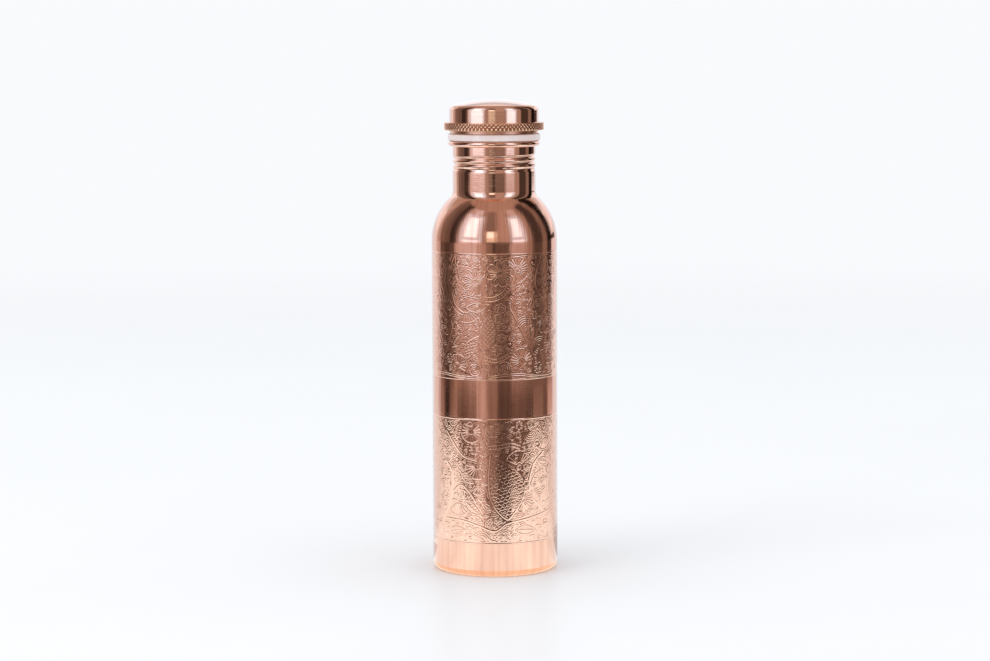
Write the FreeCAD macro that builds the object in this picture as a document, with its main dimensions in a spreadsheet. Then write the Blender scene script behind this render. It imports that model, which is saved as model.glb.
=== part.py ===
import FreeCAD, Part
import os
import re
import Sketcher

# A copper water bottle with a screw lid. Millimetres, +Z up, and the origin is the middle of the
# ring that the bottle stands on, so every round piece turns about the Z axis.

SIZES = {
    # Sheet that the pieces are drawn, spun and rolled from.
    "sheet": 0.6,
    # Body: straight wall, rounded base corner, round shoulder.
    "body_diameter": 74.0,
    "base_corner": 4.5,
    "base_flange": 3.5,
    "shoulder_low": 195.0,
    "shoulder_bend": 35.0,
    "shoulder_top": 220.5,
    # Pressed disc that closes the bottom: a flat rim, an S-shaped step and a raised middle.
    "disc_rim": 4.3,
    "disc_step_run": 4.0,
    "disc_step_rise": 3.0,
    # Neck: flared foot, thread zone and curled lip.
    "neck_diameter": 48.9,
    "foot_reach": 1.75,
    "foot_height": 4.0,
    "lip_top": 254.0,
    "lip_diameter": 54.2,
    "lip_height": 3.5,
    "curl_gap": 0.3,
    # Right-hand rolled thread, cut as a groove outside and standing as a ridge inside.
    "thread_pitch": 3.3,
    "thread_start": 238.4,
    "neck_turns": 2.4,
    "neck_groove": 0.9,
    "neck_groove_mouth": 2.0,
    "neck_groove_floor": 0.8,
    "neck_ridge_base": 2.4,
    "neck_ridge_crest": 1.2,
    "thread_lap": 0.03,
    "plug_turns": 3.0,
    "plug_ridge": 1.0,
    "plug_ridge_base": 1.6,
    "plug_ridge_crest": 0.6,
    "weld_depth": 0.2,
    # Soft ring between the lip and the flange of the plug.
    "seal_diameter": 54.4,
    "seal_height": 3.8,
    "seal_gap": 0.3,
    # Threaded cup of the lid, with the flange that presses on the seal.
    "plug_diameter": 45.1,
    "plug_depth": 19.4,
    "plug_corner": 2.0,
    "flange_diameter": 51.8,
    "flange_height": 2.1,
    "spigot_height": 2.5,
    # Grip ring and domed cover.
    "solder_gap": 0.05,
    "grip_diameter": 58.8,
    "grip_height": 4.7,
    "grip_round": 0.9,
    "cover_diameter": 52.6,
    "cover_corner": 3.0,
    "cover_crown": 92.0,
    "cover_top": 277.8,
}

doc = FreeCAD.newDocument("CopperWaterBottle")
sheet = doc.addObject("Spreadsheet::Sheet", "Sizes")
for row, (alias, value) in enumerate(SIZES.items(), start=1):
    sheet.set(f"A{row}", alias)
    sheet.set(f"B{row}", str(value))
    sheet.setAlias(f"B{row}", alias)
doc.recompute()


def sized(formula):
    """The formula with every word that is an alias written as a reference to the sheet."""
    def reference(match):
        return f"Sizes.{match[0]}" if match[0] in SIZES else match[0]
    return re.sub("[a-z_]+", reference, formula)


def value_of(formula):
    return float(sheet.evalExpression(sized(formula)))


def new_body(label):
    body = doc.addObject("PartDesign::Body", label)
    body.Label = label
    body.Placement = FreeCAD.Placement()
    return body


def section_sketch(body, name, corners, turned="0"):
    """A closed outline in the XZ plane, where x is the distance from the axis.

    Each corner is (x, z) after a straight edge, or (x, z, radius, turn) after an arc, whose turn is
    1 when it runs counterclockwise and -1 when it runs clockwise. The first corner's edge closes
    the outline. Every size is a formula of the sheet's aliases. turned is the part of a turn that
    the plane is rotated about Z.
    """
    sketch = body.newObject("Sketcher::SketchObject", name)
    plane = [feature for feature in body.Origin.OriginFeatures if feature.Role == "XZ_Plane"][0]
    sketch.AttachmentSupport = [(plane, "")]
    sketch.MapMode = "FlatFace"
    if turned != "0":
        spin = FreeCAD.Rotation(FreeCAD.Vector(0, 1, 0), 360 * value_of(turned))
        sketch.AttachmentOffset = FreeCAD.Placement(FreeCAD.Vector(), spin)
        sketch.setExpression("AttachmentOffset.Rotation.Angle", sized(f"({turned}) * 360deg"))

    points = [FreeCAD.Vector(value_of(corner[0]), value_of(corner[1]), 0) for corner in corners]
    first_ends, last_ends = [], []
    for index, corner in enumerate(corners):
        start, end = points[index - 1], points[index]
        if len(corner) == 2:
            sketch.addGeometry(Part.LineSegment(start, end))
            first_ends.append(1)
            last_ends.append(2)
            continue
        radius, turn = value_of(corner[2]), corner[3]
        chord = end - start
        left = FreeCAD.Vector(-chord.y, chord.x, 0).normalize()
        inset = (radius ** 2 - (chord.Length / 2) ** 2) ** 0.5
        centre = (start + end) * 0.5 + left * inset * turn
        middle = centre - left * radius * turn
        sketch.addGeometry(Part.Arc(start, middle, end))
        first_ends.append(1 if turn > 0 else 2)
        last_ends.append(2 if turn > 0 else 1)
        bend = sketch.addConstraint(Sketcher.Constraint("Radius", index, radius))
        sketch.renameConstraint(bend, f"bend_{index}")
        sketch.setExpression(f"Constraints.bend_{index}", sized(corner[2]))

    for index, corner in enumerate(corners):
        following = (index + 1) % len(corners)
        sketch.addConstraint(Sketcher.Constraint(
            "Coincident", index, last_ends[index], following, first_ends[following]))
        for kind, axis, formula, value in (
                ("DistanceX", -2, corner[0], points[index].x),
                ("DistanceY", -1, corner[1], points[index].y)):
            if formula == "0":
                sketch.addConstraint(Sketcher.Constraint("PointOnObject", index, last_ends[index], axis))
                continue
            place = sketch.addConstraint(
                Sketcher.Constraint(kind, -1, 1, index, last_ends[index], value))
            label = f"{kind[-1].lower()}_{index}"
            sketch.renameConstraint(place, label)
            sketch.setExpression(f"Constraints.{label}", sized(formula))
    return sketch


def revolve(body, name, corners):
    sketch = section_sketch(body, f"{name}_section", corners)
    feature = body.newObject("PartDesign::Revolution", name)
    feature.Profile = sketch
    feature.ReferenceAxis = (sketch, ["V_Axis"])
    feature.Angle = 360
    return feature


def helix(body, kind, name, turns, corners, turned="0"):
    """A ridge (AdditiveHelix) or groove (SubtractiveHelix) with the bottle's right-hand thread."""
    sketch = section_sketch(body, f"{name}_section", corners, turned)
    feature = body.newObject(f"PartDesign::{kind}", name)
    feature.Profile = sketch
    feature.ReferenceAxis = (sketch, ["V_Axis"])
    feature.Mode = "pitch-turns-angle"
    feature.setExpression("Pitch", sized("thread_pitch"))
    feature.setExpression("Turns", sized(turns))
    feature.Angle = 0
    feature.LeftHanded = False
    feature.Reversed = False
    return feature


def tooth(base_radius, crest_radius, middle, base_width, crest_width):
    """The four corners of a thread ridge's section, with its base on the wall."""
    return [
        (base_radius, f"{middle} - {base_width} / 2"),
        (crest_radius, f"{middle} - {crest_width} / 2"),
        (crest_radius, f"{middle} + {crest_width} / 2"),
        (base_radius, f"{middle} + {base_width} / 2"),
    ]


def make_body_shell():
    """Drawn body: flange under the base, corner, wall, and shoulder up to the neck's foot."""
    body = new_body("body_shell")
    wall = "body_diameter / 2"
    inner = "(body_diameter / 2 - sheet)"
    corner = "(body_diameter / 2 - base_corner)"
    bend_axis = "(body_diameter / 2 - shoulder_bend)"
    rise = "(shoulder_top - shoulder_low)"
    outer_reach = f"{bend_axis} + sqrt(shoulder_bend * shoulder_bend - {rise} * {rise})"
    inner_bend = "(shoulder_bend - sheet)"
    inner_reach = f"{bend_axis} + sqrt({inner_bend} * {inner_bend} - {rise} * {rise})"
    revolve(body, "shell", [
        (f"{corner} - base_flange", "0"),
        (corner, "0"),
        (wall, "base_corner", "base_corner", 1),
        (wall, "shoulder_low"),
        (outer_reach, "shoulder_top", "shoulder_bend", 1),
        (inner_reach, "shoulder_top"),
        (inner, "shoulder_low", inner_bend, -1),
        (inner, "base_corner"),
        (corner, "sheet", "base_corner - sheet", -1),
        (f"{corner} - base_flange", "sheet"),
    ])
    return body


def make_base_disc():
    """Pressed disc brazed on top of the body's flange, with its middle raised clear of the table."""
    body = new_body("base_disc")
    rim_edge = "body_diameter / 2 - base_corner"
    step_out = f"{rim_edge} - disc_rim"
    step_mid = f"{step_out} - disc_step_run / 2"
    step_in = f"{step_out} - disc_step_run"
    half_run = "(disc_step_run / 2)"
    half_rise = "(disc_step_rise / 2)"
    bend = f"({half_run} * {half_run} + {half_rise} * {half_rise}) / (2 * {half_rise})"
    low = "sheet"
    revolve(body, "disc", [
        (rim_edge, f"{low} + sheet"),
        (step_out, f"{low} + sheet"),
        (step_mid, f"{low} + sheet + {half_rise}", bend, -1),
        (step_in, f"{low} + sheet + disc_step_rise", bend, 1),
        ("0", f"{low} + sheet + disc_step_rise"),
        ("0", f"{low} + disc_step_rise"),
        (step_in, f"{low} + disc_step_rise"),
        (step_mid, f"{low} + {half_rise}", bend, -1),
        (step_out, low, bend, 1),
        (rim_edge, low),
    ])
    return body


def make_neck_ring():
    """Neck brazed on the shoulder: flared foot, rolled thread, and a lip curled outwards."""
    body = new_body("neck_ring")
    wall = "neck_diameter / 2"
    inner = "neck_diameter / 2 - sheet"
    foot_top = "shoulder_top + foot_height"
    flare = "(foot_reach * foot_reach + foot_height * foot_height) / (2 * foot_reach)"
    foot_inner = (f"{wall} + {flare} - sqrt(({flare} + sheet) * ({flare} + sheet)"
                  " - foot_height * foot_height)")
    curl = "(lip_height / 2)"
    curl_axis = "(lip_diameter / 2 - lip_height / 2)"
    curl_inner = f"{curl_axis} + {curl} - sheet"
    curl_middle = f"lip_top - {curl}"
    tip = "neck_diameter / 2 + curl_gap"
    revolve(body, "neck", [
        (foot_inner, "shoulder_top", f"{flare} + sheet", 1),
        (f"{wall} + foot_reach", "shoulder_top"),
        (wall, foot_top, flare, -1),
        (wall, "lip_top - sheet"),
        (curl_axis, "lip_top - sheet"),
        (curl_inner, curl_middle, f"{curl} - sheet", -1),
        (curl_axis, "lip_top - lip_height + sheet", f"{curl} - sheet", -1),
        (tip, "lip_top - lip_height + sheet"),
        (tip, "lip_top - lip_height"),
        (curl_axis, "lip_top - lip_height"),
        ("lip_diameter / 2", curl_middle, curl, 1),
        (curl_axis, "lip_top", curl, 1),
        (f"{inner} + sheet / 2", "lip_top"),
        (inner, "lip_top - sheet / 2", "sheet / 2", 1),
        (inner, foot_top),
    ])
    helix(body, "AdditiveHelix", "inner_ridge", "neck_turns + 2 * thread_lap", tooth(
        f"{inner} + weld_depth", f"{inner} - neck_groove", "thread_start",
        "neck_ridge_base", "neck_ridge_crest"))
    helix(body, "SubtractiveHelix", "outer_groove", "neck_turns", tooth(
        f"{wall} + weld_depth", f"{wall} - neck_groove", "thread_start + thread_lap * thread_pitch",
        "neck_groove_mouth", "neck_groove_floor"), "thread_lap")
    return body


def make_seal_ring():
    """Flat soft ring, loose on the plug and pinched on the lip."""
    body = new_body("seal_ring")
    bore = "plug_diameter / 2 + seal_gap"
    revolve(body, "seal", [
        (bore, "lip_top"),
        ("seal_diameter / 2", "lip_top"),
        ("seal_diameter / 2", "lip_top + seal_height"),
        (bore, "lip_top + seal_height"),
    ])
    return body


FLANGE_LOW = "(lip_top + seal_height)"
FLANGE_TOP = f"({FLANGE_LOW} + flange_height)"
SPIGOT = "(cover_diameter / 2 - sheet - solder_gap)"


def make_thread_plug():
    """Cup that screws into the neck. Its flange presses on the seal, and its spigot holds the cover."""
    body = new_body("thread_plug")
    wall = "plug_diameter / 2"
    bottom = "(lip_top - plug_depth)"
    round_end = f"{wall} - plug_corner"
    revolve(body, "cup", [
        ("0", bottom),
        (round_end, bottom),
        (wall, f"{bottom} + plug_corner", "plug_corner", 1),
        (wall, FLANGE_LOW),
        ("flange_diameter / 2", FLANGE_LOW),
        ("flange_diameter / 2", FLANGE_TOP),
        (SPIGOT, FLANGE_TOP),
        (SPIGOT, f"{FLANGE_TOP} + spigot_height"),
        (f"{SPIGOT} - sheet", f"{FLANGE_TOP} + spigot_height"),
        (f"{SPIGOT} - sheet", f"{FLANGE_LOW} + sheet"),
        (f"{wall} - sheet", f"{FLANGE_LOW} + sheet"),
        (f"{wall} - sheet", f"{bottom} + plug_corner"),
        (round_end, f"{bottom} + sheet", "plug_corner - sheet", -1),
        ("0", f"{bottom} + sheet"),
    ])
    helix(body, "AdditiveHelix", "ridge", "plug_turns", tooth(
        f"{wall} - weld_depth", f"{wall} + plug_ridge", "thread_start - thread_pitch / 2",
        "plug_ridge_base", "plug_ridge_crest"))
    return body


def make_grip_ring():
    """Turned ring round the foot of the cover, with rounded edges. Its rim carries a fine knurl."""
    body = new_body("grip_ring")
    bore = "cover_diameter / 2 + solder_gap"
    rim = "grip_diameter / 2"
    top = f"{FLANGE_TOP} + grip_height"
    revolve(body, "ring", [
        (bore, FLANGE_TOP),
        (f"{rim} - grip_round", FLANGE_TOP),
        (rim, f"{FLANGE_TOP} + grip_round", "grip_round", 1),
        (rim, f"{top} - grip_round"),
        (f"{rim} - grip_round", top, "grip_round", 1),
        (bore, top),
    ])
    return body


def make_lid_cover():
    """Spun shell of the lid: straight wall, small corner and a low round crown."""
    body = new_body("lid_cover")
    wall = "cover_diameter / 2"
    crown_axis = "(cover_top - cover_crown)"
    corner_out = f"({wall} - cover_corner)"
    centres = "(cover_crown - cover_corner)"
    corner_up = f"sqrt({centres} * {centres} - {corner_out} * {corner_out})"
    corner_low = f"{crown_axis} + {corner_up}"

    def meeting(radius):
        """Where the crown of this radius runs into the corner, as formulas of x and z."""
        share = f"({radius}) / {centres}"
        return f"{corner_out} * {share}", f"{crown_axis} + {corner_up} * {share}"

    inner_crown = "(cover_crown - sheet)"
    revolve(body, "cover", [
        (f"{wall} - sheet", FLANGE_TOP),
        (wall, FLANGE_TOP),
        (wall, corner_low),
        (*meeting("cover_crown"), "cover_corner", 1),
        ("0", "cover_top", "cover_crown", 1),
        ("0", "cover_top - sheet"),
        (*meeting(inner_crown), inner_crown, -1),
        (f"{wall} - sheet", corner_low, "cover_corner - sheet", -1),
    ])
    return body


bodies = [
    make_body_shell(),
    make_base_disc(),
    make_neck_ring(),
    make_seal_ring(),
    make_thread_plug(),
    make_grip_ring(),
    make_lid_cover(),
]
doc.recompute()

for item in doc.Objects:
    if "Invalid" in item.State or "Error" in item.State:
        raise RuntimeError(f"{item.Name} failed: {item.State}")
for body in bodies:
    if body.Shape.isNull() or not body.Shape.isValid() or len(body.Shape.Solids) != 1:
        raise RuntimeError(f"{body.Label} is not one valid solid")

os.makedirs("parts", exist_ok=True)
for body in bodies:
    body.Shape.exportStep(f"parts/{body.Label}.step")
    box = body.Shape.BoundBox
    print(f"{body.Label}: {body.Shape.Volume:.0f} mm3, z {box.ZMin:.2f} to {box.ZMax:.2f},"
          f" radius {box.XMax:.2f}")
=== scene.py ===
import math
import bpy
import numpy as np
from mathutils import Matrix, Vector


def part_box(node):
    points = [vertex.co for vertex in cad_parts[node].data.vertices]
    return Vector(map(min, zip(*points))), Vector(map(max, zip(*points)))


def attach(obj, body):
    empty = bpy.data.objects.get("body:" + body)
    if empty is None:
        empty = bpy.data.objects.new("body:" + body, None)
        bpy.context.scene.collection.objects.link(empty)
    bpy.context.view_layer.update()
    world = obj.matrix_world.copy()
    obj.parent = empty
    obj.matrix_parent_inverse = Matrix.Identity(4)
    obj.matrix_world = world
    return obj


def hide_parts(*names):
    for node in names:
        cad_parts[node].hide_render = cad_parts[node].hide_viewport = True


# The looks of the copper water bottle. Lengths are in millimetres until a mesh is made, and the
# bottle's axis is the Z axis, so every round piece is an outline of (radius, height) spun about it.

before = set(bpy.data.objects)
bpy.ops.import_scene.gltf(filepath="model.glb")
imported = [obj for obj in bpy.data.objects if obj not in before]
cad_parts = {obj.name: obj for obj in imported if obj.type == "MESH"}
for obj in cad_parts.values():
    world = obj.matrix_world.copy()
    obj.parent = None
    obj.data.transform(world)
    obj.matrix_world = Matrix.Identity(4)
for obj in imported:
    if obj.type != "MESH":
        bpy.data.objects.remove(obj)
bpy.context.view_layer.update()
MM = 0.001
TURN = 2 * math.pi


def sizes_of(node):
    """A CAD piece's reach from the axis, foot and top."""
    low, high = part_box(node)
    return high.x / MM, low.z / MM, high.z / MM


# Driving sizes, the first ones read from the CAD pieces.
BODY_R, _, SHOULDER_TOP = sizes_of("body_shell")
LIP_R, _, LIP_TOP = sizes_of("neck_ring")
SEAL_R, _, SEAL_TOP = sizes_of("seal_ring")
FLANGE_R, PLUG_LOW, PLUG_TOP = sizes_of("thread_plug")
GRIP_R, GRIP_LOW, GRIP_TOP = sizes_of("grip_ring")
COVER_R, _, COVER_TOP = sizes_of("lid_cover")
DISC_R, DISC_LOW, DISC_TOP = sizes_of("base_disc")
SHEET = 0.6

BASE_CORNER = 4.5
BASE_FLANGE = 3.5
SHOULDER_LOW = 195.0
SHOULDER_BEND = 35.0
SHOULDER_AXIS = BODY_R - SHOULDER_BEND
SHOULDER_RISE = SHOULDER_TOP - SHOULDER_LOW
NECK_R = 24.45
NECK_FOOT_HEIGHT = 4.0
LIP_HEIGHT = 3.5
CURL_GAP = 0.3
PLUG_R = 22.55
PLUG_CORNER = 2.0
SPIGOT_R = COVER_R - SHEET - 0.05
COVER_CORNER, COVER_CROWN = 3.0, 92.0

# Thread, right-handed. The rolled wall has one more shallow roll under it.
PITCH = 3.3
THREAD_START = 238.4
NECK_TURNS = 2.4
PLUG_TURNS = 3.0
RIDGE_HALF_WIDTH = 1.35
ROLL_DEPTH, EXTRA_ROLL_DEPTH, EXTRA_ROLL_DROP = 0.8, 0.45, 0.9
PLUG_RIDGE_HALF_WIDTH, PLUG_RIDGE_HEIGHT = 0.95, 1.0

KNURL_CUTS, KNURL_DEPTH = 76, 0.38

# Etched bands: the height and lower edges, how far the lines stand up and the ground lies in, the
# share of that depth they are etched to, and the size of the height field's cells.
BAND_HEIGHT = 74.0
LOWER_BAND, UPPER_BAND = 19.6, 115.9
LINE_PROUD, GROUND_SUNK = 0.040, 0.025
ETCH_STRENGTH = 0.85
CELL = 0.18
SECTORS = 8


# ---- meshes

def outline(*steps, step=0.45):
    """Points along straight edges and arcs. A step is (r, z) or (r, z, radius, turn), where turn is
    1 for a counterclockwise arc from the point before and -1 for a clockwise one."""
    points = [np.array(steps[0], float)]
    for corner in steps[1:]:
        start, end = points[-1], np.array(corner[:2], float)
        if len(corner) == 2:
            points.append(end)
            continue
        radius, turn = corner[2:]
        chord = end - start
        length = np.hypot(*chord)
        left = np.array([-chord[1], chord[0]]) / length
        centre = (start + end) / 2 + left * turn * math.sqrt(max(radius ** 2 - length ** 2 / 4, 0))
        first = math.atan2(*(start - centre)[::-1])
        sweep = (math.atan2(*(end - centre)[::-1]) - first) % TURN
        if turn < 0:
            sweep -= TURN
        count = max(4, int(abs(sweep) * radius / step))
        for part in range(1, count + 1):
            angle = first + sweep * part / count
            points.append(centre + radius * np.array([math.cos(angle), math.sin(angle)]))
    return np.array(points)


def refine(points, step):
    """The same closed outline with its long edges divided, so that a pattern can bend them. An edge
    along the axis is left whole."""
    finer = []
    for here, after in zip(points, np.roll(points, -1, axis=0)):
        length = 0 if here[0] == after[0] == 0 else np.hypot(*(after - here))
        count = max(1, int(math.ceil(length / step)))
        finer += [here + (after - here) * k / count for k in range(count)]
    return np.array(finer)


def mesh_object(name, vertices, faces, material, sharp_angle=None):
    """A smooth-shaded object. faces is a list of vertex numbers for each face."""
    mesh = bpy.data.meshes.new(name)
    mesh.vertices.add(len(vertices))
    mesh.vertices.foreach_set("co", np.asarray(vertices, np.float32).ravel())
    sizes = np.array([len(face) for face in faces])
    corners = np.concatenate(faces)
    mesh.loops.add(len(corners))
    mesh.loops.foreach_set("vertex_index", corners.astype(np.int32))
    mesh.polygons.add(len(sizes))
    starts = np.concatenate([[0], np.cumsum(sizes)[:-1]])
    mesh.polygons.foreach_set("loop_start", starts.astype(np.int32))
    mesh.polygons.foreach_set("use_smooth", np.ones(len(sizes), bool))
    mesh.update(calc_edges=True)
    mesh.validate()
    if sharp_angle:
        mesh.set_sharp_from_angle(angle=math.radians(sharp_angle))
    mesh.materials.append(material)
    piece = bpy.data.objects.new(name, mesh)
    bpy.context.scene.collection.objects.link(piece)
    return piece


def set_relief(piece, values):
    """Tells the material how high each vertex lies on its relief, from 0 to 1, for its painted highlight and
    shade.
    """
    shade = piece.data.attributes.new("relief", "FLOAT", "POINT")
    shade.data.foreach_set("value", values.ravel().astype(np.float32))


def spin(name, points, segments, material, push=None, sharp_angle=35):
    """Spins a closed counterclockwise outline about Z. push(angle, r, z) may move the grid's points.
    An outline that starts and ends on the axis is closed there by one point at each end."""
    on_axis = points[0][0] == 0 and points[-1][0] == 0
    ring_points = points[1:-1] if on_axis else points
    angle = np.arange(segments)[:, None] * TURN / segments
    r = np.repeat(ring_points[None, :, 0], segments, axis=0)
    z = np.repeat(ring_points[None, :, 1], segments, axis=0)
    if push:
        r, z = push(angle, r, z)
    grid = np.stack([r * np.cos(angle), r * np.sin(angle), z], axis=-1)
    count = len(ring_points)
    index = np.arange(segments * count).reshape(segments, count)
    onward = np.roll(index, -1, axis=0)
    if on_axis:
        quads = np.stack([index[:, :-1], onward[:, :-1], onward[:, 1:], index[:, 1:]], axis=-1)
    else:
        quads = np.stack([index, onward, np.roll(onward, -1, axis=1), np.roll(index, -1, axis=1)], axis=-1)
    vertices = grid.reshape(-1, 3)
    faces = quads.reshape(-1, 4)
    if on_axis:
        first, last = len(vertices), len(vertices) + 1
        vertices = np.vstack([vertices, [[0, 0, points[0][1]], [0, 0, points[-1][1]]]])
        start_fan = [(first, b, a) for a, b in zip(index[:, 0], onward[:, 0])]
        end_fan = [(last, a, b) for a, b in zip(index[:, -1], onward[:, -1])]
        faces = list(faces) + start_fan + end_fan
    return mesh_object(name, vertices * MM, faces, material, sharp_angle)


def smooth_step(value):
    value = np.clip(value, 0, 1)
    return value * value * (3 - 2 * value)


def bump(value, middle, half_width):
    """0 to 1 to 0 over a width about a middle."""
    offset = np.abs(value - middle) / half_width
    return np.where(offset < 1, 0.5 + 0.5 * np.cos(math.pi * np.minimum(offset, 1)), 0)


def helix_ridge(angle, z, start, turns, half_width, fade):
    """0 to 1: how much of a helical ridge a point is on. It fades in and out over a part of a turn."""
    share = (angle / TURN) % 1.0
    lap = np.round((z - start) / PITCH - share)
    place = share + lap
    ends = smooth_step(place / fade) * smooth_step((turns - place) / fade)
    return bump(z, start + PITCH * place, half_width) * ends


# ---- materials

def new_material(name):
    material = bpy.data.materials.new(name)
    material.use_nodes = True
    tree = material.node_tree
    return material, tree, tree.nodes["Principled BSDF"]


def set_inputs(tree, node, inputs):
    """Gives each named or numbered input of a node another node's output or a plain value."""
    for key, value in inputs.items():
        if isinstance(value, bpy.types.NodeSocket):
            tree.links.new(value, node.inputs[key])
        else:
            node.inputs[key].default_value = value


def add_node(tree, kind, inputs, **settings):
    node = tree.nodes.new(kind)
    for key, value in settings.items():
        setattr(node, key, value)
    set_inputs(tree, node, inputs)
    return node


def math_node(tree, operation, *values):
    return add_node(tree, "ShaderNodeMath", dict(enumerate(values)), operation=operation).outputs[0]


def own_coordinates(tree):
    return add_node(tree, "ShaderNodeTexCoord", {}).outputs["Object"]


def noise(tree, scale, stretch=(1, 1, 1), detail=3.0, vector=None):
    """Noise over the object's own coordinates, with scale in lumps a metre."""
    vector = vector or own_coordinates(tree)
    mapping = add_node(tree, "ShaderNodeMapping", {"Vector": vector, "Scale": stretch})
    texture = add_node(tree, "ShaderNodeTexNoise",
                       {"Vector": mapping.outputs["Vector"], "Scale": scale, "Detail": detail})
    return texture.outputs["Fac"]


def cylinder_coordinates(tree):
    """The angle about Z (as an arc length at 30 mm), 0 and the height, in metres."""
    split = add_node(tree, "ShaderNodeSeparateXYZ", {0: own_coordinates(tree)}).outputs
    angle = math_node(tree, "ARCTAN2", split["Y"], split["X"])
    arc = math_node(tree, "MULTIPLY", angle, 30 * MM)
    return add_node(tree, "ShaderNodeCombineXYZ", {"X": arc, "Z": split["Z"]}).outputs[0]


def ramp(tree, source, first, last):
    """A ramp over a 0 to 1 value, between two stops of (place, colour or grey level)."""
    node = add_node(tree, "ShaderNodeValToRGB", {"Fac": source})
    for element, (place, tone) in zip(node.color_ramp.elements, (first, last)):
        element.position = place
        element.color = (*tone, 1) if isinstance(tone, tuple) else (tone, tone, tone, 1)
    return node.outputs["Color"]


def blend(tree, colour, other, share, way="MIX"):
    node = add_node(tree, "ShaderNodeMix", {}, data_type="RGBA", blend_type=way)
    set_inputs(tree, node, {"Factor": share, "A": colour, "B": (*other, 1)})
    return node.outputs["Result"]


def copper(name, light, dark, rough_low, rough_high, ring_lines=0.0, streaks=0.0, dents=0.0,
           anisotropic=0.0, painted_line_highlight=None, painted_groove_shade=None):
    """Copper with clouds of tarnish, fine lines round the piece and, if asked, a painted highlight on
    the raised relief and painted shade in its grooves.

    light and dark are its two tones, ring_lines the strength of the brushing round it, streaks that
    of faint marks along it, dents that of slow waves in the sheet."""
    material, tree, shader = new_material(name)
    round_way = cylinder_coordinates(tree)
    clouds = noise(tree, 38.0, detail=4.0)
    brushed = noise(tree, 1.0, (60, 1, 9000), 2.0, round_way)
    upright = noise(tree, 1.0, (1500, 1, 20), 2.0, round_way)
    broad_upright = noise(tree, 1.0, (420, 1, 11), 5.0, round_way)
    waves = noise(tree, 22.0, detail=1.0)
    colour = ramp(tree, math_node(tree, "MULTIPLY_ADD", brushed, 0.45, clouds), (0.45, dark), (0.85, light))
    # Painted highlight on the relief's raised lines and painted shade in its grooves, set by the relief
    # height.
    if painted_line_highlight:
        depth = add_node(tree, "ShaderNodeAttribute", {}, attribute_name="relief").outputs["Fac"]
        colour = blend(tree, colour, painted_groove_shade, ramp(tree, depth, (0.05, 1), (0.26, 0)))
        colour = blend(tree, colour, painted_line_highlight, ramp(tree, depth, (0.42, 0), (0.80, 1)))
    if streaks:
        tarnish = ramp(tree, broad_upright, (0.42, 0), (0.64, 1))
        colour = blend(tree, colour, (0.90, 0.85, 0.86), tarnish, "MULTIPLY")
    set_inputs(tree, shader, {
        "Base Color": colour, "Metallic": 1.0, "Anisotropic": anisotropic,
        "Roughness": ramp(tree, clouds, (0.35, rough_low), (0.7, rough_high))})
    if anisotropic:
        tangent = add_node(tree, "ShaderNodeTangent", {}, direction_type="RADIAL", axis="Z")
        set_inputs(tree, shader, {"Tangent": tangent.outputs[0]})
    marks = ((brushed, ring_lines, 0.00002), (upright, streaks, 0.00003),
             (broad_upright, streaks, 0.00008), (waves, dents, 0.0006))
    normal = {}
    for height, strength, distance in marks:
        if strength:
            relief = add_node(tree, "ShaderNodeBump",
                              {"Height": height, "Strength": strength, "Distance": distance, **normal})
            normal = {"Normal": relief.outputs["Normal"]}
    set_inputs(tree, shader, normal)
    return material


satin = copper("satin_copper", (0.950, 0.480, 0.330), (0.880, 0.410, 0.270), 0.08, 0.12,
               ring_lines=0.25, streaks=1.0, dents=0.08, anisotropic=0.7)
# The etched bands get a painted highlight on their lines and painted shade in the grooves beside them.
etched = copper("etched_copper", (0.945, 0.490, 0.345), (0.870, 0.420, 0.285), 0.05, 0.09,
                painted_line_highlight=(0.970, 0.545, 0.390), painted_groove_shade=(0.360, 0.140, 0.098), anisotropic=0.3)
mirror = copper("polished_copper", (0.945, 0.520, 0.372), (0.905, 0.460, 0.320), 0.035, 0.07,
                ring_lines=0.35, dents=0.06)
# The knurl gets a painted highlight on its tops and painted shade in its cuts.
knurled = copper("knurled_copper", (0.860, 0.330, 0.165), (0.760, 0.270, 0.130), 0.22, 0.30,
                 painted_line_highlight=(1.000, 0.560, 0.350), painted_groove_shade=(0.220, 0.055, 0.022))
plain = copper("pressed_copper", (0.880, 0.460, 0.320), (0.760, 0.370, 0.250), 0.24, 0.34,
               ring_lines=0.6, dents=0.25)


def make_silicone():
    """Cloudy pinkish white silicone that lets a little light into itself."""
    material, tree, shader = new_material("silicone")
    tone = ramp(tree, noise(tree, 160.0, detail=4.0), (0.3, (0.74, 0.61, 0.585)), (0.7, (0.84, 0.73, 0.70)))
    grain = add_node(tree, "ShaderNodeBump",
                     {"Height": noise(tree, 900.0), "Strength": 0.25, "Distance": 0.0001})
    set_inputs(tree, shader, {
        "Base Color": tone, "Roughness": 0.38, "Subsurface Weight": 0.35, "Subsurface Scale": 0.003,
        "Subsurface Radius": (1.0, 0.7, 0.6), "Normal": grain.outputs["Normal"]})
    return material


silicone = make_silicone()


# ---- the etched bands

RAY_PITCH = 1.35
# The grooves beside a line reach to this many of its half widths, and are this deep.
MOAT_REACH, MOAT_DEPTH = 2.0, 0.48


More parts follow.
